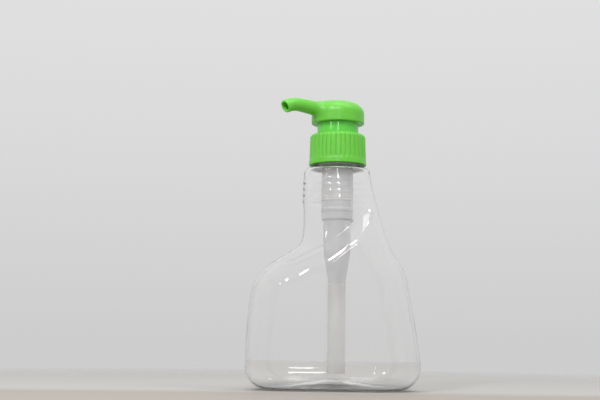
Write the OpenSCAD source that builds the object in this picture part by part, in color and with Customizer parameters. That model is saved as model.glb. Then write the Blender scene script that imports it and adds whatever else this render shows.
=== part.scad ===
// Soap pump dispenser: an asymmetric clear grip bottle with a screw-on lotion pump,
// shown with the pump head locked down. Millimetres, +Z up, standing on Z = 0.
// The origin is the middle of the bottle's footprint; the pump's axis stands at X = pump_x.

/* [Bottle] */
// Distance from the pump's axis to the bottle's left side
left_reach = 51.5; // [48:0.1:54]
// Distance from the pump's axis to the bottle's right side
right_reach = 47.5; // [44:0.1:50]
// Half of the body's depth, front to back
half_depth = 28; // [26:0.5:30]
// Height of the flat shoulder under the neck
shoulder_z = 126.2; // [124:0.1:128]
// Radius of the corner between the wall and the base
base_corner = 13; // [9:0.5:14]
// Radius of the corner between the grip and the flat shoulder
shoulder_corner = 3; // [2:0.5:4]
// Width of the flat ring that the bottle stands on
foot_w = 3.5; // [2:0.5:5]
// How far the middle of the base is pushed up
push_up = 5; // [3:0.5:7]
// Wall, measured level
wall = 1.2; // [0.9:0.1:1.5]
// Height of the lowest finger ridge's crest
ridge_z = 107.4; // [106:0.2:109]
// Distance between finger ridges
ridge_pitch = 3.6; // [3:0.1:4]
// Number of finger ridges
ridges = 4; // [3:1:4]
// How far a ridge stands out
ridge_h = 0.45; // [0.2:0.05:0.6]

/* [Neck] */
// Outside diameter of the neck under its thread
neck_d = 25; // [24.6:0.1:25.2]
// Bore of the neck
neck_bore = 21.7; // [21:0.1:22]
// Diameter over the neck's thread
thread_d = 27.4; // [27:0.1:27.6]
// Height of the neck's rim
rim_z = 142.2; // [141:0.1:143]
// Rise of the thread in one turn
pitch = 4.23; // [4:0.01:4.4]
// Diameter of the carrying ring under the closure
ring_d = 31; // [28:0.5:31]

/* [Closure] */
// Outside diameter at the closure's plain lower band
closure_d = 33.2; // [32.6:0.1:33.4]
// Outside diameter at the closure's top edge
closure_top_d = 32; // [31:0.1:32.4]
// Height of the closure's lower edge
closure_z = 128; // [127.9:0.1:128.6]
// Height of the closure's top face
closure_top = 146; // [145.8:0.1:146.4]
// Height where the ribs start
rib_z = 131.2; // [130:0.1:133]
// Number of grip ribs
ribs = 34; // [24:1:40]

/* [Pump body] */
// Outside diameter of the housing's upper part
housing_d = 18; // [17.6:0.1:18.4]
// Outside diameter of the housing's pump chamber
chamber_d = 15.5; // [15.3:0.1:15.9]
// Bore that the piston runs in
piston_bore = 13.2; // [13:0.1:13.4]
// Height where the housing steps in to the chamber
step_z = 95.8; // [94:0.1:97]
// Height where the chamber starts to taper
chamber_z = 78.5; // [78:0.1:79]
// Height of the tail's end, where the dip tube starts
tail_z = 61; // [60.5:0.1:61.5]
// Outside diameter of the dip tube
tube_d = 10.5; // [10.2:0.1:10.8]
// Height of the dip tube's open end
tube_z = 9; // [8:0.5:12]
// Outside diameter of the lock collar
collar_d = 23.8; // [23:0.1:24]
// Height of the lock collar's top
collar_top = 156.2; // [155.6:0.1:156.4]

/* [Head] */
// Outside diameter of the head
head_d = 30.6; // [30:0.1:31]
// Height of the head's lower edge, locked down
head_z = 152.4; // [152:0.1:153]
// Height of the head's top, locked down
head_top = 166; // [165.4:0.1:166.4]
// Height of the head's domed part
dome_h = 8.5; // [7:0.5:9]
// How far the head rises when it is unlocked
stroke = 14; // [10:0.5:14]
// Turn of the spout from the bottle's left side towards its front
spout_yaw = 33; // [0:1:45]
// Outside radius of the spout at its tip
spout_r = 3.75; // [3.5:0.05:4]
// Radius of the spout's outlet bore
outlet_r = 2.3; // [1.8:0.1:2.3]

/* [Valves and spring] */
// Radius of the inlet ball
ball_r = 2.4; // [2.2:0.05:2.5]
// How far the inlet ball can rise
ball_lift = 1.4; // [1:0.1:1.5]
// How far the piston shifts on its seat
piston_shift = 1.2; // [0.8:0.1:1.3]
// Wire diameter of the return spring
wire_d = 0.8; // [0.7:0.05:0.9]
// Mean radius of the return spring
coil_r = 3.55; // [3.5:0.05:3.6]
// Turns of the return spring
turns = 8; // [6:1:9]

/* [Hidden] */
$fn = 96;

// The pump's axis, seen from the middle of the footprint
pump_x = (left_reach - right_reach) / 2;

// Clearances: a running fit, a pressed or glued joint, and play along the axis
run = 0.06;
snug = 0.02;
play = 0.05;

// Bottle mesh: points round a ring, and rings in the stretches of the wall
AROUND = 40;
BASE_RINGS = 4;
WALL_STEP = 6;
GRIP_STEP = 1.2;
grip_low = ridge_z - ridge_pitch / 2;
grip_high = ridge_z + (ridges - 0.5) * ridge_pitch;
neck_sink = 1.2;

// Side outlines of the bottle as [height, distance from the pump's axis]
LEFT = [[0, left_reach], [14, left_reach], [40, 50.3], [54, 48.5], [63, 45.2], [71, 37.6],
        [77, 28.2], [81, 22.3], [85, 20], [92, 19.2], [101, 19.2], [108, 19.6], [124, 19.3]];
RIGHT = [[0, right_reach], [14, right_reach], [30, 45.4], [47, 42.5], [60, 40.1], [68, 37.8],
         [75, 33.3], [82, 30], [92, 26.6], [106, 22.5], [116, 20], [124, 18.7]];
// Half depths of the flat panels, by height, and of the round grip
PANEL = [[0, half_depth], [14, half_depth], [52, half_depth - 0.6], [70, half_depth - 1.4],
         [90, 23.4], [110, 19.7], [124, 19]];
GRIP = 19.1;
// Where the panels end and lean back to the grip, as [distance from the pump's axis, height]
CREASE = [[-50, 65], [-24, 67], [-8, 70], [4, 76], [12, 85], [17, 96], [22, 110], [48, 130]];
CREASE_W = 8;
// Corner radii of the level section, as parts of its half width and half depth
CORNER_BODY = [0.5, 0.86];
CORNER_BLEND = [62, 98];

// Threads: ridge widths at root and crest, and the arc that one straight-sided piece covers
thread_w = [2.2, 0.9];
thread_arc = 84;
thread_turns = 1.5;
closure_bore = thread_d / 2 + 0.3;
lock_bore = 9.4;
lock_pitch = 3.2;

// Heights inside the pump, locked down
gasket_t = 1;
flange_z = rim_z + gasket_t;
flange_top = flange_z + 1.3;
closure_roof = flange_top + play;
collar_z = closure_top + play;
boss_r = 10;
boss_top = 149.4;
guide_z = boss_top + play;
guide_top = guide_z + 1.4;
bore_top = chamber_z + 26;
wide_bore = 15.2;
tail_d = 9.7;
spigot_d = 8.7;
spigot_z = tail_z - 9;
tail_wall = (chamber_d - piston_bore) / 2;
seat_z = tail_z + 0.6;
inlet_r = 1.8;
ball_z = seat_z + sqrt(ball_r * ball_r - inlet_r * inlet_r) + play;
retainer_z = ball_z + ball_r + ball_lift + play;
retainer_top = retainer_z + 2;
rod_flange = retainer_top + 13;
rod_seat = rod_flange + 1.6;
rod_r = 2.8;
piston_h = 6;
stem_z = rod_seat + piston_h + piston_shift + 2 * play;
rod_top = stem_z + 9;
stem_r = 4;
stem_bore = 2.2;
stem_stop = guide_z - stroke - play;
stem_top = 157.4;
socket_z = guide_top + 0.3;
skirt_t = 1.3;
roof_t = 1.6;
dome_power = 0.83;

// Spout: a tapered run rising to the bend, then an arc that droops to the tip
spout_rise = 4;
spout_droop = 29;
bend_r = 18;
bend_s = 26.4;
bend_z = 160.7;
spout_root_r = 4.4;
duct_r = 3.3;
duct_roof = 160;

// Interpolation through [height, value] stations, with smooth slopes
function lerp(a, b, t) = a + (b - a) * t;
function ease(t) = t <= 0 ? 0 : t >= 1 ? 1 : t * t * (3 - 2 * t);
function span(s, z, i = 0) = i >= len(s) - 2 || z < s[i + 1][0] ? i : span(s, z, i + 1);
function slope(s, i) =
    let (a = max(i - 1, 0), b = min(i + 1, len(s) - 1)) (s[b][1] - s[a][1]) / (s[b][0] - s[a][0]);
function along(s, z) =
    let (i = span(s, z), h = s[i + 1][0] - s[i][0], t = min(max((z - s[i][0]) / h, 0), 1))
    (2 * t * t * t - 3 * t * t + 1) * s[i][1] + (t * t * t - 2 * t * t + t) * h * slope(s, i)
    + (3 * t * t - 2 * t * t * t) * s[i + 1][1] + (t * t * t - t * t) * h * slope(s, i + 1);

// Unit rounded rectangle: the point at angle a, for corner radii c = [across, deep]
function corner_reach(u, c) =
    let (f = [1 - c[0], 1 - c[1]], k = [u[0] / c[0], u[1] / c[1]], g = [f[0] / c[0], f[1] / c[1]],
         A = k * k, B = k * g, C = g * g - 1)
    (B + sqrt(max(B * B - A * C, 0))) / A;
function unit_section(a, c) =
    let (u = [abs(cos(a)), abs(sin(a))],
         side = u[0] > 0.001 && u[1] / u[0] <= 1 - c[1],
         front = u[1] > 0.001 && u[0] / u[1] <= 1 - c[0],
         t = side ? 1 / u[0] : front ? 1 / u[1] : corner_reach(u, c))
    [t * cos(a), t * sin(a)];

// A point of the bottle's skin: height z0 for the outline, drawn at height z, moved in by inset
// and shrunk by k towards the middle. The ridges run round the left, front and back.
function ridge(z, across) =
    z < grip_low || z > grip_high ? 0
    : ridge_h * ease((0.9 - across) / 0.7) * (1 + cos(360 * (z - ridge_z) / ridge_pitch)) / 2;
function skin(a, z0, z, inset, k, ridged) =
    let (blend = ease((z0 - CORNER_BLEND[0]) / (CORNER_BLEND[1] - CORNER_BLEND[0])),
         c = [lerp(CORNER_BODY[0], 1, blend), lerp(CORNER_BODY[1], 1, blend)],
         u = unit_section(a, c),
         x0 = -along(LEFT, z0), x1 = along(RIGHT, z0),
         grow = ridged ? ridge(z0, u[0]) : 0,
         x = (x0 + x1) / 2 + ((x1 - x0) / 2 - inset + grow) * u[0],
         past = ease((z0 - along(CREASE, x)) / CREASE_W),
         y = (lerp(along(PANEL, z0), GRIP, past) - inset + grow) * u[1],
         mid = (x0 + x1) / 2)
    [pump_x + lerp(mid, x, k), y * k, z];

// Rings from the middle of the base to the neck, each as [outline height, height, inset, shrink]
function base_rings(t) =
    concat([for (i = [1 : BASE_RINGS]) let (s = i / BASE_RINGS)
                [0, t + push_up * (1 + cos(180 * s)) / 2, base_corner + foot_w, s]],
           [for (i = [0 : BASE_RINGS]) let (a = 90 * i / BASE_RINGS, r = base_corner - t)
                [0, base_corner - r * cos(a), t + r - r * sin(a), 1]]);
function top_rings(t) =
    let (r = shoulder_corner - t / 2, z0 = shoulder_z - shoulder_corner)
    [for (i = [0 : 3]) [z0, shoulder_z - t - r + r * sin(30 * i), t + r - r * cos(30 * i), 1]];
function wall_rings(t, fine) =
    let (low = base_corner + WALL_STEP / 2, high = shoulder_z - shoulder_corner - WALL_STEP / 2)
    concat([for (z = [low : WALL_STEP : 60]) [z, z, t, 1]],
           [for (z = [64 : WALL_STEP / 2 : 88]) [z, z, t, 1]],
           [for (z = [93 : WALL_STEP : grip_low - 1]) [z, z, t, 1]],
           [for (z = [grip_low : fine : high]) [z, z, t, 1]]);
function rings(t, fine) = concat(base_rings(t), wall_rings(t, fine), top_rings(t));

function ring_points(list, ridged) =
    [for (r = list) for (i = [0 : AROUND - 1]) skin(360 * i / AROUND, r[0], r[1], r[2], r[3], ridged)];
function circle_points(r, z) =
    [for (i = [0 : AROUND - 1])
        let (a = 360 * i / AROUND) [pump_x + r * cos(a), r * sin(a), z]];
function strip(n, first) =
    [for (j = [0 : n - 2]) for (i = [0 : AROUND - 1]) let (k = (i + 1) % AROUND, b = first + j * AROUND)
        for (f = [[b + i, b + AROUND + i, b + AROUND + k], [b + i, b + AROUND + k, b + k]]) f];
function flip(faces) = [for (f = faces) [f[2], f[1], f[0]]];
function fan(centre, first) = [for (i = [0 : AROUND - 1]) [centre, first + i, first + (i + 1) % AROUND]];

// Points of an arc in a profile
function arc(centre, r, from, to, n = 6) =
    [for (i = [0 : n]) let (a = lerp(from, to, i / n)) centre + r * [cos(a), sin(a)]];

module at_pump() {
    translate([pump_x, 0, 0]) children();
}

module ring_part(r0, r1, z0, z1) {
    rotate_extrude() polygon([[r0, z0], [r1, z0], [r1, z1], [r0, z1]]);
}

module tube_part(r0, r1, z0, z1) {
    difference() {
        translate([0, 0, z0]) cylinder(r = r1, h = z1 - z0);
        translate([0, 0, z0 - 1]) cylinder(r = r0, h = z1 - z0 + 2);
    }
}

// One straight-sided piece of a thread, tilted to the helix; r0 is its root, r1 its crest
module thread_piece(r0, r1, z, lead, turn) {
    tilt = atan(lead / (PI * (r0 + r1)));
    w = thread_w / 2;
    translate([0, 0, z]) rotate([0, 0, turn]) rotate([tilt, 0, 0]) rotate([0, 0, -thread_arc / 2])
        rotate_extrude(angle = thread_arc)
            polygon([[r0, -w[0]], [r1, -w[1]], [r1, w[1]], [r0, w[0]]]);
}

module thread(r0, r1, z, lead, count) {
    for (k = [0 : count - 1]) thread_piece(r0, r1, z + lead * k / 4, lead, 90 * k);
}

// The blown body: an outer and an inner skin, open at the top inside the neck's wall
module bottle_body() {
    outer = rings(0, GRIP_STEP);
    inner = rings(wall, WALL_STEP);
    lip = (neck_bore + neck_d) / 4;
    out_pts = concat(ring_points(outer, true), circle_points(lip + 0.4, shoulder_z));
    in_pts = concat(ring_points(inner, false), circle_points(lip - 0.4, shoulder_z - wall));
    n_out = len(outer) + 1;
    n_in = len(inner) + 1;
    first_in = n_out * AROUND;
    base_out = first_in + n_in * AROUND;
    mid = pump_x + (right_reach - left_reach) / 2;
    top_out = (n_out - 1) * AROUND;
    top_in = first_in + (n_in - 1) * AROUND;
    polyhedron(
        points = concat(out_pts, in_pts, [[mid, 0, push_up], [mid, 0, push_up + wall]]),
        faces = concat(
            strip(n_out, 0), flip(strip(n_in, first_in)),
            fan(base_out, 0), flip(fan(base_out + 1, first_in)),
            [for (i = [0 : AROUND - 1]) let (k = (i + 1) % AROUND)
                for (f = [[top_out + i, top_in + i, top_in + k], [top_out + i, top_in + k, top_out + k]]) f]),
        convexity = 8);
}

module bottle() {
    r0 = neck_bore / 2;
    r1 = neck_d / 2;
    color([0.86, 0.9, 0.92, 0.35]) union() {
        bottle_body();
        at_pump() {
            rotate_extrude() polygon([
                [r0, shoulder_z - wall - 0.6], [r1, shoulder_z - wall - 0.6],
                [r1, shoulder_z + 0.7], [ring_d / 2 - 0.4, shoulder_z + 0.7],
                [ring_d / 2, shoulder_z + 1.1], [ring_d / 2 - 0.4, shoulder_z + 1.5],
                [r1, shoulder_z + 1.5], [r1, rim_z - 0.4], [r1 - 0.4, rim_z], [r0, rim_z]]);
            thread(r1 - 0.3, thread_d / 2, rim_z - 9.6, pitch, 6);
        }
    }
}

module closure_cap() {
    r0 = closure_d / 2;
    r1 = closure_top_d / 2;
    edge = 2;
    groove_r = 0.62;
    color([0.46, 0.77, 0.33]) at_pump() union() {
        difference() {
            rotate_extrude() polygon(concat(
                [[closure_bore, closure_z], [r0 - 0.4, closure_z], [r0, closure_z + 0.4],
                 [r0 - 0.1, rib_z - 0.8], [r0 - 0.25, rib_z]],
                arc([r1 - edge, closure_top - edge], edge, 5, 90),
                [[boss_r + 2.5 * run, closure_top], [boss_r + 2.5 * run, closure_roof],
                 [closure_bore, closure_roof]]));
            for (k = [0 : ribs - 1]) rotate([0, 0, 360 * k / ribs])
                translate([r0 + groove_r * 0.25, 0, rib_z]) rotate([0, -1.6, 0])
                    cylinder(r = groove_r, h = closure_top - rib_z + 1, $fn = 24);
        }
        thread(closure_bore + 0.3, neck_d / 2 + 0.3, rim_z - 9.6 - pitch / 2, pitch, 5);
    }
}

module neck_gasket() {
    color([0.95, 0.95, 0.93]) at_pump()
        ring_part(housing_d / 2 + snug, neck_d / 2 + 0.7, rim_z, rim_z + gasket_t - snug);
}

module lock_collar() {
    r1 = collar_d / 2;
    color([0.42, 0.8, 0.3]) at_pump() union() {
        rotate_extrude() polygon([
            [boss_r + snug, collar_z], [r1, collar_z], [r1, collar_top - 0.6], [r1 - 0.6, collar_top],
            [lock_bore + 0.3, collar_top], [lock_bore, collar_top - 0.3], [lock_bore, guide_top],
            [stem_r + run, guide_top], [stem_r + run, guide_z], [boss_r + snug, guide_z]]);
        thread(lock_bore + 0.3, lock_bore - 0.3, guide_top + 1.6, lock_pitch, 4);
    }
}

module housing() {
    r_out = housing_d / 2;
    vent_z = rim_z - 12;
    spigot_wall = spigot_d / 2 - 1.1;
    color([0.93, 0.94, 0.92, 0.75]) at_pump() difference() {
        rotate_extrude() polygon([
            [inlet_r, spigot_z], [spigot_d / 2 - 0.5, spigot_z], [spigot_d / 2, spigot_z + 0.8],
            [spigot_d / 2, tail_z], [tail_d / 2, tail_z], [chamber_d / 2, chamber_z],
            [chamber_d / 2, step_z], [r_out, step_z + 0.8], [r_out, flange_z],
            [neck_d / 2 + 0.9, flange_z], [neck_d / 2 + 0.9, flange_top], [boss_r, flange_top],
            [boss_r, boss_top], [wide_bore / 2, boss_top], [wide_bore / 2, bore_top + 1],
            [piston_bore / 2, bore_top], [piston_bore / 2, chamber_z],
            [tail_d / 2 - tail_wall + 0.6, seat_z + 3], [tail_d / 2 - tail_wall, seat_z + 1.6],
            [inlet_r, seat_z]]);
        translate([0, 0, spigot_z - 1]) cylinder(r1 = spigot_wall + 0.4, r2 = inlet_r, h = 4);
        translate([0, -r_out - 1, vent_z]) rotate([-90, 0, 0]) cylinder(r = 0.7, h = 4);
    }
}

module dip_tube() {
    color([0.8, 0.82, 0.83, 0.6]) at_pump()
        tube_part(spigot_d / 2 + snug, tube_d / 2, tube_z, tail_z - snug);
}

module inlet_ball() {
    color([0.75, 0.78, 0.8]) translate([pump_x, 0, ball_z]) sphere(r = ball_r);
}

// A slotted ring over the ball: it stops the ball's rise and carries the spring
module ball_retainer() {
    r_fit = tail_d / 2 - tail_wall + 0.6 + (retainer_z - seat_z - 3) * (piston_bore / 2 - tail_d / 2
        + tail_wall - 0.6) / (chamber_z - seat_z - 3) - snug;
    slot_w = 1;
    color([0.9, 0.91, 0.9]) at_pump() difference() {
        translate([0, 0, retainer_z]) cylinder(r = r_fit, h = retainer_top - retainer_z);
        translate([0, 0, retainer_z - 1]) cylinder(r = 1.3, h = 4);
        for (a = [0, 60, 120]) rotate([0, 0, a])
            translate([-coil_r + wire_d, -slot_w / 2, retainer_z - 1])
                cube([2 * (coil_r - wire_d), slot_w, 4]);
    }
}

// Points of a round wire wound into a compression spring with closed ends
module spring() {
    r = wire_d / 2;
    z0 = retainer_top + r + snug;
    z1 = rod_flange - r - snug;
    steps = turns * 24;
    sides = 8;
    dead = 1;
    function rise(t) = let (n = t * turns, live = turns - 2 * dead, h = wire_d * dead)
        n < dead ? h * n / dead
        : n > turns - dead ? z1 - z0 - h * (turns - n) / dead
        : h + (z1 - z0 - 2 * h) * (n - dead) / live;
    pts = [for (i = [0 : steps]) for (j = [0 : sides - 1])
        let (t = i / steps, a = 360 * turns * t, b = 360 * j / sides, q = coil_r + r * cos(b))
        [q * cos(a), q * sin(a), z0 + rise(t) + r * sin(b)]];
    sidewall = [for (i = [0 : steps - 1]) for (j = [0 : sides - 1])
        let (k = (j + 1) % sides, b = i * sides)
        for (f = [[b + j, b + sides + k, b + sides + j], [b + j, b + k, b + sides + k]]) f];
    ends = [[for (j = [sides - 1 : -1 : 0]) j], [for (j = [0 : sides - 1]) steps * sides + j]];
    color([0.75, 0.76, 0.78]) at_pump() polyhedron(pts, concat(sidewall, ends), convexity = 10);
}

// The valve stem: a flange that seats the piston, and a fluted shaft pressed into the stem
module plunger_rod() {
    flute = 1.1;
    color([0.88, 0.9, 0.9]) at_pump() difference() {
        rotate_extrude() polygon([
            [0, rod_flange - 3], [coil_r - wire_d / 2 - 0.5, rod_flange - 3],
            [coil_r - wire_d / 2 - 0.2, rod_flange - 2], [coil_r - wire_d / 2 - 0.2, rod_flange],
            [5.2, rod_flange], [5.2, rod_seat - 0.6], [rod_r + 1.2, rod_seat], [rod_r, rod_seat],
            [rod_r, rod_top - 0.5], [rod_r - 0.5, rod_top], [0, rod_top]]);
        for (a = [0, 90, 180, 270]) rotate([0, 0, a])
            translate([rod_r - flute, -flute / 2, rod_seat + 0.5]) cube([3, flute, rod_top]);
    }
}

module piston() {
    r1 = piston_bore / 2 - run;
    z0 = rod_seat + snug;
    z1 = z0 + piston_h;
    hub = rod_r + 1.2;
    color([0.95, 0.95, 0.95]) at_pump() rotate_extrude() polygon([
        [rod_r + run, z0], [hub, z0], [hub, z0 + 2], [r1 - 0.9, z0 + 2], [r1 - 0.5, z0 - 1],
        [r1, z0 - 1], [r1, z0 + 0.4], [r1 - 0.3, z0 + 2.6], [r1 - 0.3, z0 + 3.6], [r1, z0 + 5.4],
        [r1, z1], [r1 - 0.5, z1], [r1 - 1, z0 + 3.8], [hub, z0 + 3.8], [hub, z1],
        [rod_r + run, z1]]);
}

module stem() {
    color([0.93, 0.94, 0.93]) at_pump() difference() {
        union() {
            translate([0, 0, stem_z]) cylinder(r = stem_r, h = stem_top - stem_z);
            translate([0, 0, stem_stop - 1.2]) cylinder(r = 5.6, h = 1.2);
        }
        translate([0, 0, stem_z - 1]) cylinder(r = rod_r + snug, h = rod_top + 1 - stem_z + snug);
        translate([0, 0, stem_z]) cylinder(r = stem_bore, h = stem_top - stem_z + 1);
    }
}

// The spout's run from from_s to the bend, and the bend, which goes on past the tip by extra degrees
module spout_shape(root, tip, from_s, extra) {
    at_bend() {
        rotate([0, -90, 0]) cylinder(r1 = tip, r2 = root, h = (bend_s - from_s) / cos(spout_rise));
        translate([0, 0, -bend_r]) rotate([-90, -90, 0])
            rotate_extrude(angle = spout_rise + spout_droop + extra)
                translate([bend_r, 0]) circle(r = tip);
    }
}

// The start of the bend, with X along the spout and Z up
module at_bend() {
    rotate([0, 0, 180 + spout_yaw]) translate([bend_s, 0, bend_z]) rotate([0, -spout_rise, 0]) children();
}

// Points of the dome's profile from its side to its top, for a dome of that radius and height
function dome(r, base, h, from, to, n = 10) =
    [for (i = [0 : n]) let (a = lerp(from, to, i / n))
        [r * pow(cos(a), dome_power), base + h * pow(sin(a), dome_power)]];

module pump_head() {
    r1 = head_d / 2;
    lip = 0.6;
    inner = r1 - skirt_t;
    base = head_top - dome_h;
    roof = head_top - roof_t;
    boss = lock_bore - 0.7;
    socket = stem_r + 1.5;
    color([0.45, 0.8, 0.33]) at_pump() difference() {
        union() {
            rotate_extrude() polygon(concat(
                [[inner, head_z], [r1 - lip, head_z]],
                arc([r1 - lip, head_z + lip], lip, -90, 0, 3),
                dome(r1, base, dome_h, 0, 88), [[0, head_top], [0, roof]],
                dome(inner, base, dome_h - roof_t, 88, 0, 6)));
            tube_part(boss - 1.4, boss, guide_top + 0.5, roof);
            thread(boss - 0.3, boss + 0.25, guide_top + 3.2, lock_pitch, 4);
            tube_part(stem_r + snug, socket, socket_z, roof);
            spout_shape(duct_r, duct_r, 0, 0);
            intersection() {
                spout_shape(spout_root_r, spout_r, 2, 0);
                union() {
                    tube_part(inner, 60, 140, 175);
                    translate([0, 0, duct_roof]) cylinder(r = inner + 1, h = 15);
                }
            }
        }
        translate([0, 0, socket_z - 1]) cylinder(r = stem_r + snug, h = stem_top - socket_z + 1 + snug);
        translate([0, 0, socket_z]) cylinder(r = outlet_r + 0.4, h = bend_z - socket_z);
        spout_shape(outlet_r, outlet_r, 0, 4);
    }
}

bottle();
closure_cap();
neck_gasket();
lock_collar();
housing();
dip_tube();
inlet_ball();
ball_retainer();
spring();
plunger_rod();
piston();
stem();
pump_head();
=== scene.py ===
import math
import bpy
import numpy as np
from mathutils import Matrix, Vector


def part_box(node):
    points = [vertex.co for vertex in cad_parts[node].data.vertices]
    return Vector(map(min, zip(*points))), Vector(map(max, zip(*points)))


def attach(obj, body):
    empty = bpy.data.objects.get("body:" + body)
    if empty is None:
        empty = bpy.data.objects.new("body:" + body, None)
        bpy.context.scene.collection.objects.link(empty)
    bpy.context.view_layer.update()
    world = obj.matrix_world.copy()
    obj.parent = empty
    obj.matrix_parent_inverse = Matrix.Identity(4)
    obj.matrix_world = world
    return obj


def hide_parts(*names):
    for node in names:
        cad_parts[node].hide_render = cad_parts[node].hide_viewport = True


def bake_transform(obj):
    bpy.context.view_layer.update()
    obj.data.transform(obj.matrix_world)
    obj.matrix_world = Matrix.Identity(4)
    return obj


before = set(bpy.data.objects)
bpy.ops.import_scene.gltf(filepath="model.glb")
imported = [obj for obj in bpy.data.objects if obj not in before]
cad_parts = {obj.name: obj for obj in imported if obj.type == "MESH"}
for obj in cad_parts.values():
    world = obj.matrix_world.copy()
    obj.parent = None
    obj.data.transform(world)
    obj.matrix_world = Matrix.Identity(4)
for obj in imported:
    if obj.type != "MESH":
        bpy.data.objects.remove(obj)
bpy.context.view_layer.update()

MM = 0.001
TURN = 2 * math.pi

def corners(node):
    """A CAD node's lowest and highest corners, in millimetres."""
    low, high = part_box(node)
    return np.array(low) / MM, np.array(high) / MM


def heights(node):
    low, high = corners(node)
    return low[2], high[2]


closure_low, closure_high = corners("closure_cap")
bottle_low, bottle_high = corners("bottle")
head_low, head_high = corners("pump_head")
collar_low, collar_high = corners("lock_collar")
housing_low, housing_high = corners("housing")
tube_low, tube_high = corners("dip_tube")
spring_low, spring_high = corners("spring")

PUMP_X = (closure_low[0] + closure_high[0]) / 2
RIM_Z = bottle_high[2]
REACH_LEFT = PUMP_X - bottle_low[0]
REACH_RIGHT = bottle_high[0] - PUMP_X
HALF_DEPTH = 28.0


# ---------------------------------------------------------------- meshes

def new_piece(name, verts, faces, body=None):
    """A smooth-shaded mesh piece from points in millimetres; with a body named, it rides on it."""
    mesh = bpy.data.meshes.new(name)
    mesh.from_pydata([tuple(v) for v in np.asarray(verts) * MM], [], faces)
    mesh.validate()
    mesh.update()
    mesh.shade_smooth()
    piece = bpy.data.objects.new(name, mesh)
    bpy.context.scene.collection.objects.link(piece)
    if body:
        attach(piece, body)
    return piece


def finish_piece(piece, material, slot, *nodes):
    """Gives the piece its material, and hides the CAD nodes that it replaces; the slot name is not
    used.
    """
    piece.data.materials.clear()
    piece.data.materials.append(material)
    if nodes:
        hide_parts(*nodes)
    return piece


def grid_faces(rows, cols, closed_rows=False):
    """Quads over a grid of rings; each ring is closed, and the rings can close on themselves."""
    faces = []
    for j in range(rows if closed_rows else rows - 1):
        a = j * cols
        b = (j + 1) % rows * cols
        for i in range(cols):
            k = (i + 1) % cols
            faces.append((a + i, a + k, b + k, b + i))
    return faces


def lathe(profile, around=192, radius=None):
    """Points and faces of a closed profile of (r, z) turned about the pump's axis.
    radius(r, z, angle) may move each point in or out."""
    profile = np.asarray(profile, float)
    angle = np.arange(around) * TURN / around
    r = np.repeat(profile[:, :1], around, 1)
    z = np.repeat(profile[:, 1:], around, 1)
    a = np.repeat(angle[None], len(profile), 0)
    if radius:
        r = radius(r, z, a)
    points = np.stack([PUMP_X + r * np.cos(a), r * np.sin(a), z], -1).reshape(-1, 3)
    return points, grid_faces(len(profile), around, True)


def arc(cr, cz, r, start, end, n=6):
    """Points of an arc in a profile, angles in degrees."""
    t = np.radians(np.linspace(start, end, n + 1))
    return [(cr + r * math.cos(a), cz + r * math.sin(a)) for a in t]


def dense(profile, step):
    """The closed profile with its long sides cut to about one step."""
    out = []
    for (r0, z0), (r1, z1) in zip(profile, profile[1:] + profile[:1]):
        n = max(1, round(math.hypot(r1 - r0, z1 - z0) / step))
        out += [(r0 + (r1 - r0) * k / n, z0 + (z1 - z0) * k / n) for k in range(n)]
    return out


def softened(profile, r, n=4):
    """The closed profile with its corners rounded by about r."""
    points = [Vector(p) for p in profile]
    out = []
    for before, at, after in zip(points[-1:] + points[:-1], points, points[1:] + points[:1]):
        a, b = before - at, after - at
        d = min(r, 0.45 * a.length, 0.45 * b.length)
        start, end = at + a.normalized() * d, at + b.normalized() * d
        for k in range(n + 1):
            t = k / n
            out.append(tuple(start * (1 - t) ** 2 + at * (2 * t * (1 - t)) + end * t ** 2))
    return out


def ease(t):
    """0 to 1 with a level start and end."""
    t = np.clip(t, 0, 1)
    return t * t * (3 - 2 * t)


def thread_height(z, a, mid, pitch, turns, width, height):
    """How far a helical ridge stands out at height z and angle a; it starts at the height mid."""
    out = np.zeros_like(z)
    for k in range(-1, math.ceil(turns) + 1):
        along = a / TURN + k
        off = np.abs(z - mid - pitch * along)
        ends = ease(along / 0.06) * ease((turns - along) / 0.06)
        out = np.maximum(out, height * ends * ease((width - off) / (0.45 * width)))
    return out


# ---------------------------------------------------------------- bottle

# Side outlines as (height, distance from the pump's axis), as in the part's source
LEFT = [(0, REACH_LEFT), (14, REACH_LEFT), (40, 50.3), (54, 48.5), (63, 45.2), (71, 37.6),
        (77, 28.2), (81, 22.3), (85, 20), (92, 19.2), (101, 19.2), (108, 19.6), (124, 19.3)]
RIGHT = [(0, REACH_RIGHT), (14, REACH_RIGHT), (30, 45.4), (47, 42.5), (60, 40.1), (68, 37.8),
         (75, 33.3), (82, 30), (92, 26.6), (106, 22.5), (116, 20), (124, 18.7)]
# Half depths of the flat panels, by height, and of the round grip
PANEL = [(0, HALF_DEPTH), (14, HALF_DEPTH), (52, HALF_DEPTH - 0.6), (74, HALF_DEPTH - 1.1),
         (92, 25.4), (110, 20.4), (124, 19)]
GRIP = 19.1
# Where the panels end and lean back to the grip, as (distance from the pump's axis, height)
CREASE = [(-50, 58), (-26, 59.6), (-14, 65.6), (-7, 68.7), (2.5, 75.6), (11.8, 83.4), (17, 92),
          (22, 106), (48, 128)]
# Share of the way back to the grip, by height above that line
ROLL = [(-1.5, 0), (-0.5, 0), (0.5, 0.02), (1, 0.04), (2.2, 0.088), (3, 0.13), (7.6, 0.5),
        (12.5, 0.97), (12.9, 1), (14, 1)]
CORNER_BODY = (0.5, 0.86)
CORNER_BLEND = (62, 98)
BASE_CORNER = 13.0
FOOT = 3.5
PUSH_UP = 5.0
SHOULDER_Z = 126.2
SHOULDER_CORNER = 3.0
RIDGE_Z = 107.4
RIDGE_PITCH = 3.6
RIDGES = 4
RIDGE_H = 0.38
NECK_R = 12.5
NECK_BORE_R = 10.85
THREAD_H = 1.2
RING_R = 15.5
PITCH = 4.23
SKIN_T = 0.9
SEAM_H = 0.07
RIM_ROUND = 0.35
NECK_THREAD_Z = RIM_Z - 9.6


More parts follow.
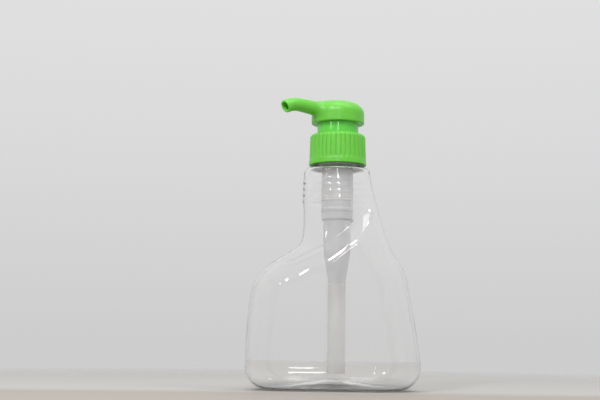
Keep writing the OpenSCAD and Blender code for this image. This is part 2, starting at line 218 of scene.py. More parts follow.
def along(stations, z):
    """Smooth interpolation through (height, value) stations."""
    zs, vs = np.array(stations, float).T
    n = len(zs)
    low, high = np.maximum(np.arange(n) - 1, 0), np.minimum(np.arange(n) + 1, n - 1)
    slope = (vs[high] - vs[low]) / (zs[high] - zs[low])
    i = np.clip(np.searchsorted(zs, z, side="right") - 1, 0, n - 2)
    h = zs[i + 1] - zs[i]
    t = np.clip((z - zs[i]) / h, 0, 1)
    return ((2 * t**3 - 3 * t**2 + 1) * vs[i] + (t**3 - 2 * t**2 + t) * h * slope[i]
            + (3 * t**2 - 2 * t**3) * vs[i + 1] + (t**3 - t**2) * h * slope[i + 1])


def unit_section(a, across, deep):
    """The point at angle a of a unit rounded rectangle with those corner radii."""
    u, v = np.abs(np.cos(a)), np.abs(np.sin(a))
    u, v = np.maximum(u, 1e-9), np.maximum(v, 1e-9)
    fu, fv = (1 - across) / across, (1 - deep) / deep
    ku, kv = u / across, v / deep
    A, B, C = ku**2 + kv**2, ku * fu + kv * fv, fu**2 + fv**2 - 1
    t = (B + np.sqrt(np.maximum(B**2 - A * C, 0))) / A
    t = np.where(v / u <= 1 - deep, 1 / u, np.where(u / v <= 1 - across, 1 / v, t))
    return t * np.cos(a), t * np.sin(a)


def skin(a, outline_z, z, inset, shrink):
    """A ring of the bottle's outer skin at height z, with the side outlines' shape at outline_z,
    moved in by inset and then scaled towards its middle by shrink."""
    blend = ease((outline_z - CORNER_BLEND[0]) / (CORNER_BLEND[1] - CORNER_BLEND[0]))
    u, v = unit_section(a, CORNER_BODY[0] + (1 - CORNER_BODY[0]) * blend,
                        CORNER_BODY[1] + (1 - CORNER_BODY[1]) * blend)
    x0, x1 = -along(LEFT, outline_z), along(RIGHT, outline_z)
    grow = 0
    low = RIDGE_Z - RIDGE_PITCH / 2
    if low <= outline_z <= low + RIDGES * RIDGE_PITCH:
        wave = (1 + math.cos(TURN * (outline_z - RIDGE_Z) / RIDGE_PITCH)) / 2
        grow = RIDGE_H * ease((0.9 - u) / 0.7) * wave
    mid = (x0 + x1) / 2
    x = mid + ((x1 - x0) / 2 - inset + grow) * u
    past = along(ROLL, outline_z - along(CREASE, x))
    panel = along(PANEL, outline_z)
    y = (panel + (GRIP - panel) * past - inset + grow) * v
    return np.stack([PUMP_X + mid + (x - mid) * shrink, y * shrink, np.full_like(y, z)], -1)


def body_rings(a):
    """Rings of the outer skin from the middle of the base to the shoulder's flat."""
    rings = []
    for s in np.linspace(0.02, 1, 18):
        z = PUSH_UP * (1 + math.cos(math.pi * s)) / 2
        rings.append(skin(a, 0, z, BASE_CORNER + FOOT, s))
    for t in np.radians(np.linspace(0, 90, 15)):
        inset = BASE_CORNER * (1 - math.sin(t))
        rings.append(skin(a, 0, BASE_CORNER * (1 - math.cos(t)), inset, 1))
    top = SHOULDER_Z - SHOULDER_CORNER
    for z in [*np.arange(BASE_CORNER + 2, 50, 2), *np.arange(50, top - 0.2, 0.5)]:
        rings.append(skin(a, z, z, 0, 1))
    for t in np.radians(np.linspace(0, 90, 10)):
        inset = SHOULDER_CORNER * (1 - math.cos(t))
        rings.append(skin(a, top, top + SHOULDER_CORNER * math.sin(t), inset, 1))
    return np.array(rings)


def neck_rings(a):
    """Rings of the neck's outside: the carrying ring, the thread and the rim."""
    low = SHOULDER_Z + 0.7
    profile = [(NECK_R + 0.5, SHOULDER_Z), (NECK_R + 0.12, SHOULDER_Z + 0.15), (NECK_R, low)]
    profile += [(r, low) for r in (12.9, 13.6, 14.2)]
    profile += arc(RING_R - 0.4, low + 0.4, 0.4, -90, 90, 8)
    profile += [(r, low + 0.8) for r in (14.2, 13.6, 12.9)]
    profile += [(NECK_R, low + 0.9)]
    profile += [(NECK_R, z) for z in np.arange(low + 1.1, RIM_Z - RIM_ROUND, 0.3)]
    profile += arc(NECK_R - RIM_ROUND, RIM_Z - RIM_ROUND, RIM_ROUND, 0, 90, 5)
    rings = []
    for r, z in profile:
        height = thread_height(np.full_like(a, z), a, NECK_THREAD_Z, PITCH, 1.5, 1.1, THREAD_H)
        q = r + (height if r <= NECK_R and z > low + 1 else 0)
        rings.append(np.stack([PUMP_X + q * np.cos(a), q * np.sin(a), np.full_like(a, z)], -1))
    return np.array(rings)


def bore_rings(a, bottom_z):
    """Rings of the neck's inside, from the rim down to the shoulder."""
    profile = arc(NECK_BORE_R + RIM_ROUND, RIM_Z - RIM_ROUND, RIM_ROUND, 90, 180, 5)
    profile += [(NECK_BORE_R, z) for z in np.linspace(RIM_Z - 1, bottom_z + 0.6, 12)]
    profile += arc(NECK_BORE_R + 0.8, bottom_z + 0.8 - 0.2, 0.8, 180, 262, 6)
    return np.array([np.stack([PUMP_X + r * np.cos(a), r * np.sin(a), np.full_like(a, z)], -1)
                     for r, z in profile])


def skin_normals(rings):
    """Outward unit normals of a stack of rings."""
    up = np.gradient(rings, axis=0)
    round_ = np.roll(rings, -1, 1) - np.roll(rings, 1, 1)
    n = np.cross(round_, up)
    return n / np.maximum(np.linalg.norm(n, axis=2, keepdims=True), 1e-12)


def build_bottle(around=240):
    a = np.arange(around) * TURN / around
    a = a + 0.2 * np.sin(2 * a)  # closer together over the front and back
    outer = body_rings(a)
    # the blow mould's parting line stands a hair proud down both sides
    n = skin_normals(outer)
    line = np.exp(-((np.sin(a) * 45) ** 2))[None, :, None]
    rise = ease((outer[..., 2:] - 2) / 6) * ease((SHOULDER_Z - 1 - outer[..., 2:]) / 3)
    inner = (outer - n * SKIN_T)[::-2]
    outer = outer + n * SEAM_H * line * rise
    outer[..., 0] = np.clip(outer[..., 0], bottle_low[0], bottle_high[0])
    neck = neck_rings(a)
    bore = bore_rings(a, SHOULDER_Z - SKIN_T)
    rings = np.concatenate([outer, neck, bore, inner])
    count = len(rings)
    faces = grid_faces(count, around)
    points = rings.reshape(-1, 3)
    centre = len(points)
    points = np.concatenate([points, [rings[0].mean(0), rings[-1].mean(0)]])
    last = (count - 1) * around
    for i in range(around):
        k = (i + 1) % around
        faces.append((centre, k, i))
        faces.append((centre + 1, last + i, last + k))
    return new_piece("bottle_shell", points, faces, "bottle")


# ---------------------------------------------------------------- solid blending

def round_and(a, b, r):
    """Intersection of two distance fields with its edge rounded to radius r."""
    return (np.minimum(np.maximum(a + r, b + r), 0)
            + np.hypot(np.maximum(a + r, 0), np.maximum(b + r, 0)) - r)


def smooth_or(a, b, k):
    """Union of two distance fields with a fillet of about radius k."""
    h = np.maximum(k - np.abs(a - b), 0) / k
    return np.minimum(a, b) - h * h * k / 4


def cell_corners(f, step):
    """The field's value at one corner of every cell; step is that corner's place, as 0s and 1s."""
    return f[step[0]:f.shape[0] - 1 + step[0], step[1]:f.shape[1] - 1 + step[1],
             step[2]:f.shape[2] - 1 + step[2]]


def surface_net(field, low, high, step):
    """A closed mesh round the zero surface of field(points), inside a box, in square cells."""
    axes = [np.arange(low[k], high[k] + step, step) for k in range(3)]
    shape = [len(a) for a in axes]
    grid = np.stack(np.meshgrid(*axes, indexing="ij"), -1)
    f = field(grid.reshape(-1, 3)).reshape(shape)
    offsets = [(i, j, k) for i in (0, 1) for j in (0, 1) for k in (0, 1)]
    total = np.zeros([n - 1 for n in shape] + [3])
    count = np.zeros([n - 1 for n in shape])
    for a in offsets:
        for axis in range(3):
            if a[axis]:
                continue
            b = list(a)
            b[axis] = 1
            fa, fb = cell_corners(f, a), cell_corners(f, b)
            cross = (fa < 0) != (fb < 0)
            t = np.where(cross, fa / np.where(cross, fa - fb, 1), 0)
            for k in range(3):
                total[..., k] += cross * (a[k] + (t if k == axis else 0))
            count += cross
    active = count > 0
    index = np.full(active.shape, -1)
    index[active] = np.arange(active.sum())
    where = np.argwhere(active)
    points = np.array(low) + step * (where + total[active] / count[active][:, None])
    for _ in range(2):
        points -= newton_step(field, points)
    faces = []
    inside = f < 0
    for axis in range(3):
        u, v = (axis + 1) % 3, (axis + 2) % 3
        now = [slice(1, -1)] * 3
        now[axis] = slice(0, -1)
        after = list(now)
        after[axis] = slice(1, None)
        changed = inside[tuple(now)] != inside[tuple(after)]
        at = np.argwhere(changed) + [0 if k == axis else 1 for k in range(3)]
        outward = inside[tuple(at.T)]
        quad = []
        for du, dv in ((-1, -1), (0, -1), (0, 0), (-1, 0)):
            cell = at.copy()
            cell[:, u] += du
            cell[:, v] += dv
            quad.append(index[tuple(cell.T)])
        quad = np.stack(quad, 1)
        faces += quad[outward].tolist() + quad[~outward][:, ::-1].tolist()
    return points, faces


def newton_step(field, points, e=0.01):
    """The move that brings each point about onto the zero surface."""
    value = field(points)
    slope = np.stack([field(points + e * np.eye(3)[k]) - field(points - e * np.eye(3)[k])
                      for k in range(3)], -1) / (2 * e)
    size = np.maximum((slope ** 2).sum(-1, keepdims=True), 0.2)
    return np.clip(value[:, None] * slope / size, -0.1, 0.1)


# ---------------------------------------------------------------- head

HEAD_R = 15.3
HEAD_Z = 152.4
HEAD_TOP = head_high[2]
DOME_H = 8.5
DOME_POWER = 2.4
SKIRT_T = 1.3
ROOF_T = 1.6
LOCK_R = 8.7
LOCK_WALL = 1.4
LOCK_PITCH = 3.2
SOCKET_R = 5.5
STEM_HOLE_R = 4.02
STEM_TOP_Z = 157.4
SPOUT_FILLET = 3.4
SPOUT_YAW = math.radians(33)
SPOUT_RISE = math.radians(4)
SPOUT_DROOP = math.radians(29)
BEND_R = 18.0
BEND_S = 26.4
BEND_Z = 160.7
SPOUT_ROOT_R = 4.4
DUCT_R = 3.3
SPOUT_R = 3.75
OUTLET_R = 2.3


def spout_coords(p):
    """Distance along the spout's path from the bend, and away from it, in millimetres."""
    x, y, z = (p - [PUMP_X, 0, 0]).T
    s = -x * math.cos(SPOUT_YAW) - y * math.sin(SPOUT_YAW)
    side = x * math.sin(SPOUT_YAW) - y * math.cos(SPOUT_YAW)
    ds, dz = s - BEND_S, z - BEND_Z
    ahead = ds * math.cos(SPOUT_RISE) + dz * math.sin(SPOUT_RISE)
    above = dz * math.cos(SPOUT_RISE) - ds * math.sin(SPOUT_RISE)
    turn = np.arctan2(ahead, above + BEND_R)
    bent = ahead > 0
    q = np.where(bent, turn * BEND_R, ahead)
    off = np.where(bent, np.hypot(ahead, above + BEND_R) - BEND_R, above)
    return q, np.hypot(side, off)


def dome_field(r, z, radius, height):
    """About the distance from a dome on a straight side; its top is at HEAD_TOP at radius 0."""
    p = DOME_POWER
    u, v = r / radius, np.maximum(z - HEAD_TOP + DOME_H, 0) / height
    h = np.maximum(u ** p + v ** p, 1e-9)
    slope = h ** (1 / p - 1) * np.hypot(u ** (p - 1) / radius, v ** (p - 1) / height)
    return (h ** (1 / p) - 1) / np.maximum(slope, 0.2 / radius)


def head_field(p):
    """About the distance from the head's surface: the cap and spout, then the hollow under the
    skirt, the lock boss, the stem's socket and the way for the soap."""
    r = np.hypot(p[:, 0] - PUMP_X, p[:, 1])
    angle = np.arctan2(p[:, 1], p[:, 0] - PUMP_X)
    z = p[:, 2]
    cap = dome_field(r, z, HEAD_R, DOME_H)
    q, away = spout_coords(p)
    end = (SPOUT_RISE + SPOUT_DROOP) * BEND_R
    width = SPOUT_R + (SPOUT_ROOT_R - SPOUT_R) * np.clip(-q / (BEND_S - 10), 0, 1)
    tube = round_and(away - width, q - end, 0.55)
    tube = np.maximum(tube, -(q + BEND_S))
    body = smooth_or(cap, tube, SPOUT_FILLET)
    body = round_and(body, HEAD_Z - z, 0.6)
    roof = HEAD_TOP - ROOF_T
    hollow = dome_field(r, z, HEAD_R - SKIRT_T, DOME_H - ROOF_T)
    hollow = np.maximum(hollow, LOCK_R - r)
    duct = away - DUCT_R
    body = np.maximum(body, -np.maximum(hollow, -smooth_or(duct, LOCK_R - r, 1)))
    gap = np.maximum(np.maximum(r - (LOCK_R - LOCK_WALL), SOCKET_R - r), z - (roof - 0.3))
    ridge = thread_height(z, angle % TURN, collar_high[2] - 2.6, LOCK_PITCH, 1.2, 0.8, 0.5)
    lock = round_and(r - LOCK_R - ridge, head_low[2] + 0.25 - z, 0.3)
    lock = np.maximum(lock, z - roof - 0.5)
    body = np.minimum(body, lock)
    body = np.maximum(body, -np.maximum(gap, -duct))
    socket = np.maximum(round_and(r - SOCKET_R, head_low[2] - z, 0.3), z - roof - 0.5)
    body = np.minimum(body, socket)
    stem_hole = np.maximum(r - STEM_HOLE_R, z - STEM_TOP_Z)
    chamber = np.maximum(r - OUTLET_R - 0.4, z - BEND_Z)
    mouth = OUTLET_R + 0.45 * ease((q - end + 0.7) / 0.7)
    bore = np.maximum(away - mouth, -(q + BEND_S))
    return np.maximum(body, -np.minimum(np.minimum(stem_hole, chamber), bore))


def build_head():
    low = head_low - 1.0
    high = head_high + 1.0
    points, faces = surface_net(head_field, low, high, 0.27)
    points = np.clip(points, head_low, head_high)
    return new_piece("head_moulding", points, faces, "head")


# ---------------------------------------------------------------- closure and collar

CLOSURE_R = (closure_high[0] - closure_low[0]) / 2
CLOSURE_TOP_R = 16.0
RIB_Z = 131.2
RIBS = 34
GROOVE = 0.42
PUMP_HOLE_R = 10.15
CLOSURE_BORE_R = 14.0
CLOSURE_ROOF_T = 1.45
CLOSURE_EDGE = 2.1


def build_closure():
    z0, z1 = closure_low[2], closure_high[2]
    hole, bore, roof, edge = PUMP_HOLE_R, CLOSURE_BORE_R, z1 - CLOSURE_ROOF_T, CLOSURE_EDGE
    outside = [(bore + 0.3, z0), (CLOSURE_R - 0.5, z0)]
    outside += arc(CLOSURE_R - 0.45, z0 + 0.45, 0.45, -80, 0, 5)
    outside += [(CLOSURE_R - 0.1, RIB_Z - 0.7), (CLOSURE_R - 0.22, RIB_Z)]
    outside += arc(CLOSURE_TOP_R - edge, z1 - edge, edge, 4, 90, 12)
    inside = [(hole + 0.3, z1), (hole, z1 - 0.3), (hole, roof), (bore - 0.6, roof),
              (bore, roof - 0.6), (bore, z0 + 0.3)]
    profile = dense(outside + inside, 0.3)

    def radius(r, z, a):
        wave = np.abs(((a * RIBS / TURN) % 1) - 0.5) * 2
        groove = np.exp(-((1 - wave) / 0.26) ** 2)
        fade = ease((z - RIB_Z) / 0.7) * ease((z1 - 0.15 - z) / 1.6)
        out = r > bore + 0.6
        r = np.where(out, r - GROOVE * groove * fade, r)
        thread = thread_height(z, a, NECK_THREAD_Z - PITCH / 2, PITCH, 1.3, 1.1, THREAD_H)
        inner = (np.abs(r - bore) < 0.01) & (z < roof - 0.8)
        return np.where(inner, r - thread, r)

    points, faces = lathe(profile, RIBS * 16, radius)
    return new_piece("closure_moulding", points, faces, "closure")


COLLAR_BORE_R = 9.4
GUIDE_R = 4.06
GUIDE_UP = 3.4
BOSS_BORE_R = 10.02


def build_collar():
    z0, z1 = collar_low[2], collar_high[2]
    r1 = (collar_high[0] - collar_low[0]) / 2
    guide = z0 + GUIDE_UP
    outside = [(10.3, z0), (r1 - 0.25, z0)] + arc(r1 - 0.25, z0 + 0.25, 0.25, -90, 0, 3)
    outside += arc(r1 - 0.7, z1 - 0.7, 0.7, 0, 90, 6)
    inside = arc(9.9, z1 - 0.5, 0.5, 90, 180, 4)
    inside += [(COLLAR_BORE_R, guide + 1.8), (COLLAR_BORE_R - 0.4, guide + 1.4), (4.5, guide + 1.4),
               (GUIDE_R, guide + 1.0), (GUIDE_R, guide), (BOSS_BORE_R, guide),
               (BOSS_BORE_R, z0 + 0.3)]
    profile = dense(outside + inside, 0.3)

    def radius(r, z, a):
        thread = thread_height(z, a, guide + 2.6, LOCK_PITCH, 1.0, 0.7, 0.5)
        inner = np.abs(r - COLLAR_BORE_R) < 0.01
        return np.where(inner, r - thread * ease((z1 - 0.6 - z) / 0.6), r)

    points, faces = lathe(profile, 192, radius)
    return new_piece("collar_moulding", points, faces, "pump_body")


# ---------------------------------------------------------------- pump

HOUSING_R = 9.0
HOUSING_BOSS_R = 10.0
WIDE_BORE_R = 7.6
CHAMBER_R = 7.75
PISTON_BORE_R = 6.6
TAIL_R = 4.85
SPIGOT_R = 4.35
INLET_R = 1.8
STEM_STOP_Z = 135.4
STEP_Z = 95.8
CHAMBER_Z = 78.5
BORE_TOP = CHAMBER_Z + 26
TAIL_Z = tube_high[2]
SEAT_Z = TAIL_Z + 0.6
FLANGE_R = 13.4
STEM_R = 4.0
STEM_BORE_R = 2.2
STEM_STOP_R = 5.6
ROD_BORE_R = 2.82
ROD_UP = 10.0
GASKET_R = 13.2
PISTON_UP = 4.62
PISTON_HUB_R = 4.0
PISTON_HOLE_R = 2.86
BEADS = [(STEP_Z + 5.4, 1.6), (STEP_Z + 11.5, 1.0), (STEP_Z + 18, 0.6)]
BEAD_H = 0.25


def turned(name, profile, edge, node, material, slot, body, around=128, step=1.2):
    """A turned piece with rounded edges that replaces a CAD node."""
    points, faces = lathe(dense(softened(profile, edge), step), around)
    return finish_piece(new_piece(name, points, faces, body), material, slot, node)


def housing_profile():
    """Half section of the housing, from the inlet round the outside, over the top and down."""
    low, top = housing_low[2], housing_high[2]
    flange = RIM_Z + 1
    wall = CHAMBER_R - PISTON_BORE_R
    beads = []
    for z, high in BEADS:
        beads += [(HOUSING_R, z - 0.4), (HOUSING_R + BEAD_H, z), (HOUSING_R + BEAD_H, z + high),
                  (HOUSING_R, z + high + 0.4)]
    return [
        (INLET_R, low + 3), (SPIGOT_R - 0.9, low), (SPIGOT_R - 0.5, low), (SPIGOT_R, low + 0.8),
        (SPIGOT_R, TAIL_Z), (TAIL_R, TAIL_Z), (CHAMBER_R, CHAMBER_Z), (CHAMBER_R, STEP_Z),
        (HOUSING_R, STEP_Z + 0.8), *beads, (HOUSING_R, flange),
        (FLANGE_R, flange), (FLANGE_R, flange + 1.3), (HOUSING_BOSS_R, flange + 1.3),
        (HOUSING_BOSS_R, top), (WIDE_BORE_R, top), (WIDE_BORE_R, BORE_TOP + 1),
        (PISTON_BORE_R, BORE_TOP), (PISTON_BORE_R, CHAMBER_Z),
        (TAIL_R - wall + 0.6, SEAT_Z + 3), (TAIL_R - wall, SEAT_Z + 1.6), (INLET_R, SEAT_Z)]


def build_spring():
    """A wire wound into a compression spring with closed ends."""
    wire, turns, per_turn, sides = 0.8, 8, 48, 12
    r = wire / 2
    coil = (spring_high[0] - spring_low[0]) / 2 - r
    z0, z1 = spring_low[2] + r, spring_high[2] - r
    n = np.linspace(0, turns, turns * per_turn + 1)
    live = (z1 - z0 - 2 * wire) / (turns - 2)
    z = (z0 + wire * np.clip(n, 0, 1) + live * np.clip(n - 1, 0, turns - 2)
         + wire * np.clip(n - turns + 1, 0, 1))
    a, b = n[:, None] * TURN, np.arange(sides)[None] * TURN / sides
    q = coil + r * np.cos(b)
    points = np.stack([PUMP_X + q * np.cos(a), q * np.sin(a), z[:, None] + r * np.sin(b)], -1)
    faces = [f[::-1] for f in grid_faces(len(n), sides)]
    faces += [tuple(range(sides)), tuple(range((len(n) - 1) * sides, len(n) * sides))[::-1]]
    piece = new_piece("return_spring", points.reshape(-1, 3), faces)
    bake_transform(piece)
    return piece


def build_pump():
    turned("pump_housing", housing_profile(), 0.3,
           "housing", NATURAL, "natural_plastic", "pump_body")
    low, high = tube_low[2], tube_high[2]
    outer = (tube_high[0] - tube_low[0]) / 2
    inner = SPIGOT_R + 0.02
    turned("suction_tube", [(inner, low), (outer, low), (outer, high), (inner, high)], 0.2,
           "dip_tube", TUBE, "tube_plastic", "pump_body", step=3)
    z0, z1 = heights("neck_gasket")
    inner = HOUSING_R + 0.03
    turned("neck_seal", [(inner, z0), (GASKET_R, z0), (GASKET_R, z1), (inner, z1)], 0.15,
           "neck_gasket", FOAM, "gasket_foam", "pump_body")
    low, high = heights("stem")
    stop, rod_top = STEM_STOP_Z, low + ROD_UP
    turned("stem_tube", [
        (ROD_BORE_R, low), (STEM_R, low), (STEM_R, stop - 1.2), (STEM_STOP_R, stop - 1.2),
        (STEM_STOP_R, stop), (STEM_R, stop), (STEM_R, high), (STEM_BORE_R, high),
        (STEM_BORE_R, rod_top), (ROD_BORE_R, rod_top)], 0.15,
        "stem", WHITE, "natural_plastic", "head")
    z = heights("plunger_rod")[0] + PISTON_UP
    lip, hub, hole = PISTON_BORE_R - 0.06, PISTON_HUB_R, PISTON_HOLE_R
    turned("piston_seal", [
        (hole, z), (hub, z), (hub, z + 2), (lip - 0.9, z + 2), (lip - 0.5, z - 1), (lip, z - 1),
        (lip, z + 0.4), (lip - 0.3, z + 2.6), (lip - 0.3, z + 3.6), (lip, z + 5.4), (lip, z + 6),
        (lip - 0.5, z + 6), (lip - 1, z + 3.8), (hub, z + 3.8), (hub, z + 6), (hole, z + 6)], 0.12,
        "piston", WHITE, "white_plastic", "piston", step=0.6)
    finish_piece(build_spring(), STEEL, "spring_steel", "spring")


# ---------------------------------------------------------------- camera, light, floor

CAMERA_DISTANCE = 0.650
CAMERA_HEIGHT = 0.025
CAMERA_SIDE = 0.0215
CAMERA_TILT = math.radians(7.27)
CAMERA_ROLL = math.radians(0.7)
LENS = 68.2
SENSOR = 36.0


def add_camera():
    data = bpy.data.cameras.new("camera")
    data.lens = LENS
    data.sensor_width = SENSOR
    camera = bpy.data.objects.new("camera", data)
    camera.location = (PUMP_X * MM - CAMERA_SIDE, -CAMERA_DISTANCE, CAMERA_HEIGHT)
    turn = Matrix.Rotation(math.pi / 2 + CAMERA_TILT, 3, "X") @ Matrix.Rotation(CAMERA_ROLL, 3, "Z")
    camera.rotation_euler = turn.to_euler()
    bpy.context.scene.collection.objects.link(camera)
    bpy.context.scene.camera = camera


TARGET = Vector((0, 0, 0.1))
# Surround by height: level, a little up, straight up
SKY_STOPS = [(0.0, (0.61, 0.61, 0.61, 1)), (0.17, (0.7, 0.7, 0.7, 1)), (1.0, (1.0, 1.0, 1.0, 1))]
# Name, azimuth, elevation, distance, watts, width, height and colour
WHITE_LIGHT = (1, 1, 1)
LIGHTS = [
    ("front", 0, 36, 0.9, 1.6, 0.06, 0.10, WHITE_LIGHT),
    ("left", -30, 38, 0.9, 2.6, 0.10, 0.10, (1, 0.995, 0.98)),
    ("left_low", -40, 17, 0.9, 0.25, 0.03, 0.12, WHITE_LIGHT),
    ("front_low", -1, 13, 0.9, 0.25, 0.03, 0.10, WHITE_LIGHT),
    ("right", 62, 58, 0.9, 0.9, 0.06, 0.08, WHITE_LIGHT),
    ("top", 20, 82, 0.8, 1.2, 0.4, 0.4, WHITE_LIGHT)]


def add_light(name, azimuth, elevation, distance, energy, size, size_y, colour):
    """An area light that faces the object; azimuth 0 is the front and 90 the right, in degrees."""
    data = bpy.data.lights.new(name, "AREA")
    data.energy = energy
    data.color = colour
    data.shape = "RECTANGLE"
    data.size = size
    data.size_y = size_y
    light = bpy.data.objects.new(name, data)
    a, e = math.radians(azimuth), math.radians(elevation)
    away = Vector((math.sin(a) * math.cos(e), -math.cos(a) * math.cos(e), math.sin(e)))
    light.location = TARGET + away * distance
    light.rotation_euler = away.to_track_quat("Z", "Y").to_euler()
    bpy.context.scene.collection.objects.link(light)


def add_studio():
    """An even pale surround, brighter overhead, with narrow lights above the front."""
    world = bpy.data.worlds.new("studio")
    world.use_nodes = True
    nodes, links = world.node_tree.nodes, world.node_tree.links
    axes = nodes.new("ShaderNodeSeparateXYZ")
    links.new(nodes.new("ShaderNodeTexCoord").outputs["Generated"], axes.inputs["Vector"])
    sky = ramp(nodes, links, axes.outputs["Z"], SKY_STOPS)
    links.new(sky, nodes["Background"].inputs["Color"])
    bpy.context.scene.world = world
    for light in LIGHTS:
        add_light(*light)


FLOOR_R = 0.6
# The floor's warm patch is centred this far in front, and is wider than it is deep
FLOOR_SHIFT = 0.35
FLOOR_STRETCH = 0.35
FLOOR_SIDES = 96
FLOOR_STOPS = [(0.50, (0.335, 0.303, 0.272, 1)), (0.57, (0.42, 0.408, 0.395, 1))]
FLOOR_FADE = [(0.5, (1, 1, 1, 1)), (0.95, (0, 0, 0, 1))]


def add_floor():
    """A pale floor, warmer in front of the object, that fades into the surround."""
    mesh = bpy.data.meshes.new("floor")
    n = FLOOR_SIDES
    rim = [(FLOOR_R * math.cos(TURN * k / n), FLOOR_R * math.sin(TURN * k / n), 0)
           for k in range(n)]
    mesh.from_pydata([(0, 0, 0)] + rim, [], [(0, k + 1, (k + 1) % n + 1) for k in range(n)])
    floor = bpy.data.objects.new("floor", mesh)
    floor.location.z = -0.0002
    bpy.context.scene.collection.objects.link(floor)
    mat, nodes, links, bsdf = new_material("floor_paint")
    for stretch, shift, stops, socket in ((FLOOR_STRETCH, FLOOR_SHIFT, FLOOR_STOPS, "Base Color"),
                                          (1, 0, FLOOR_FADE, "Alpha")):
        scaled = nodes.new("ShaderNodeVectorMath")
        scaled.operation = "MULTIPLY_ADD"
        scaled.inputs[1].default_value = (stretch / FLOOR_R, 1 / FLOOR_R, 0)
        scaled.inputs[2].default_value = (0, shift / FLOOR_R, 0)
        links.new(object_coords(nodes), scaled.inputs[0])
        reach = nodes.new("ShaderNodeVectorMath")
        reach.operation = "LENGTH"
        links.new(scaled.outputs["Vector"], reach.inputs[0])
        links.new(ramp(nodes, links, reach.outputs["Value"], stops), bsdf.inputs[socket])
    bsdf.inputs["Roughness"].default_value = 0.6
    mesh.materials.append(mat)


# ---------------------------------------------------------------- materials

def new_material(name):
    mat = bpy.data.materials.new(name)
    mat.use_nodes = True
    nodes, links = mat.node_tree.nodes, mat.node_tree.links
    return mat, nodes, links, nodes["Principled BSDF"]


def object_coords(nodes):
    return nodes.new("ShaderNodeTexCoord").outputs["Object"]


def noise(nodes, links, scale, detail=3, rough=0.5, coords=None):
    node = nodes.new("ShaderNodeTexNoise")
    node.inputs["Scale"].default_value = scale
    node.inputs["Detail"].default_value = detail
    node.inputs["Roughness"].default_value = rough
    links.new(coords or object_coords(nodes), node.inputs["Vector"])
    return node.outputs["Fac"]


def ramp(nodes, links, value, stops):
    node = nodes.new("ShaderNodeValToRGB")
    node.color_ramp.elements[0].position, node.color_ramp.elements[0].color = stops[0]
    node.color_ramp.elements[1].position, node.color_ramp.elements[1].color = stops[-1]
    for position, colour in stops[1:-1]:
        node.color_ramp.elements.new(position).color = colour
    links.new(value, node.inputs["Fac"])
    return node.outputs["Color"]


def add_bump(nodes, links, bsdf, height, strength, distance):
    bump = nodes.new("ShaderNodeBump")
    bump.inputs["Strength"].default_value = strength
    bump.inputs["Distance"].default_value = distance
    links.new(height, bump.inputs["Height"])
    links.new(bump.outputs["Normal"], bsdf.inputs["Normal"])


def moulded(name, dark, light, rough=(0.28, 0.4), bump=0.06, scatter=0.0):
    """Injection-moulded plastic: slight clouding, a fine satin texture and uneven gloss."""
    mat, nodes, links, bsdf = new_material(name)
    cloud = noise(nodes, links, 90, 4)
    links.new(ramp(nodes, links, cloud, [(0.3, (*dark, 1)), (0.7, (*light, 1))]),
              bsdf.inputs["Base Color"])
    gloss = nodes.new("ShaderNodeMapRange")
    gloss.inputs["To Min"].default_value, gloss.inputs["To Max"].default_value = rough
    links.new(noise(nodes, links, 700, 2), gloss.inputs["Value"])
    links.new(gloss.outputs["Result"], bsdf.inputs["Roughness"])
    add_bump(nodes, links, bsdf, noise(nodes, links, 2600, 2), bump, 0.0001)
    bsdf.inputs["IOR"].default_value = 1.49
    if scatter:
        bsdf.inputs["Subsurface Weight"].default_value = scatter
        bsdf.inputs["Subsurface Radius"].default_value = (0.35, 1.0, 0.2)
        bsdf.inputs["Subsurface Scale"].default_value = 0.003
    return mat


def clear_pet():
    """Clear blown plastic: slightly uneven walls, and a little grey through the thick parts."""
    mat, nodes, links, bsdf = new_material("clear_pet")
    bsdf.inputs["Base Color"].default_value = (1, 1, 1, 1)
    bsdf.inputs["Transmission Weight"].default_value = 1.0
    bsdf.inputs["IOR"].default_value = 1.5
    gloss = nodes.new("ShaderNodeMapRange")
    gloss.inputs["To Min"].default_value, gloss.inputs["To Max"].default_value = 0.01, 0.06
    links.new(noise(nodes, links, 60, 3), gloss.inputs["Value"])
    links.new(gloss.outputs["Result"], bsdf.inputs["Roughness"])
    add_bump(nodes, links, bsdf, noise(nodes, links, 45, 3), 0.05, 0.001)
    absorb = nodes.new("ShaderNodeVolumeAbsorption")
    absorb.inputs["Color"].default_value = (0.5, 0.5, 0.5, 1)
    absorb.inputs["Density"].default_value = 8.0
    links.new(absorb.outputs["Volume"], nodes["Material Output"].inputs["Volume"])
    return mat


def translucent(name, colour, transmission, rough, alpha=1.0):
    """Natural plastic or glass that lets part of the light through."""
    mat, nodes, links, bsdf = new_material(name)
    bsdf.inputs["Alpha"].default_value = alpha
    cloud = noise(nodes, links, 140, 3)
    light = tuple(min(c * 1.04, 1) for c in colour)
    links.new(ramp(nodes, links, cloud, [(0.3, (*colour, 1)), (0.7, (*light, 1))]),
              bsdf.inputs["Base Color"])
    bsdf.inputs["Transmission Weight"].default_value = transmission
    bsdf.inputs["IOR"].default_value = 1.5
    gloss = nodes.new("ShaderNodeMapRange")
    gloss.inputs["To Min"].default_value, gloss.inputs["To Max"].default_value = rough
    links.new(noise(nodes, links, 400, 2), gloss.inputs["Value"])
    links.new(gloss.outputs["Result"], bsdf.inputs["Roughness"])
    return mat


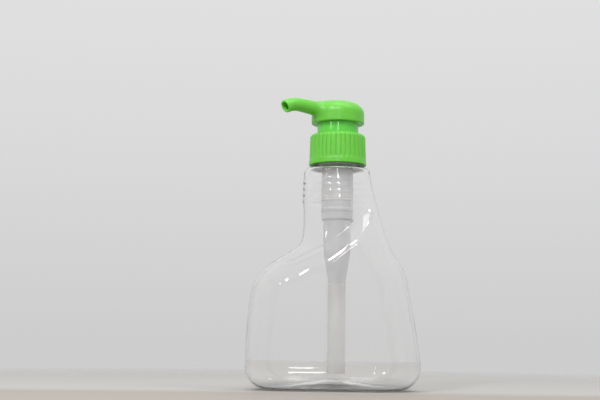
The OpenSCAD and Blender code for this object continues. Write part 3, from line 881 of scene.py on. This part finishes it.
def steel():
    mat, nodes, links, bsdf = new_material("spring_steel")
    bsdf.inputs["Metallic"].default_value = 1.0
    links.new(ramp(nodes, links, noise(nodes, links, 900, 3),
                   [(0.3, (0.5, 0.51, 0.53, 1)), (0.7, (0.68, 0.69, 0.7, 1))]),
              bsdf.inputs["Base Color"])
    bsdf.inputs["Roughness"].default_value = 0.28
    return mat


GREEN = moulded("green_plastic", (0.12, 0.49, 0.036), (0.135, 0.52, 0.042), scatter=0.6)
COLLAR_GREEN = moulded("collar_plastic", (0.12, 0.6, 0.06), (0.135, 0.64, 0.075),
                       (0.1, 0.16), 0.03, 0.6)
PET = clear_pet()
NATURAL = translucent("natural_plastic", (0.98, 0.975, 1.0), 0.0, (0.12, 0.22), 0.65)
TUBE = translucent("tube_plastic", (0.99, 0.97, 0.955), 0.0, (0.15, 0.25), 0.32)
WHITE = moulded("white_plastic", (0.8, 0.8, 0.78), (0.88, 0.88, 0.87), (0.4, 0.55))
FOAM = moulded("gasket_foam", (0.75, 0.75, 0.72), (0.85, 0.85, 0.82), (0.7, 0.85), 0.5)
STEEL = steel()
GLASS = translucent("ball_glass", (0.9, 0.95, 0.95), 1.0, (0.01, 0.03))

# ---------------------------------------------------------------- build

bpy.context.scene.view_settings.view_transform = "Standard"
add_camera()
add_studio()
add_floor()
finish_piece(build_bottle(), PET, "bottle_pet", "bottle")
finish_piece(build_head(), GREEN, "green_plastic", "pump_head")
finish_piece(build_closure(), GREEN, "green_plastic", "closure_cap")
finish_piece(build_collar(), COLLAR_GREEN, "collar_plastic", "lock_collar")
build_pump()

# The CAD nodes under the visual pieces wear the same materials
for node, material in {
    "closure_cap": GREEN, "lock_collar": COLLAR_GREEN, "pump_head": GREEN, "neck_gasket": FOAM,
    "housing": NATURAL, "dip_tube": TUBE, "inlet_ball": GLASS, "ball_retainer": WHITE,
    "spring": STEEL, "plunger_rod": NATURAL, "piston": WHITE, "stem": NATURAL,
}.items():
    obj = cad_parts[node]
    for slot in obj.material_slots:
        slot.material = material
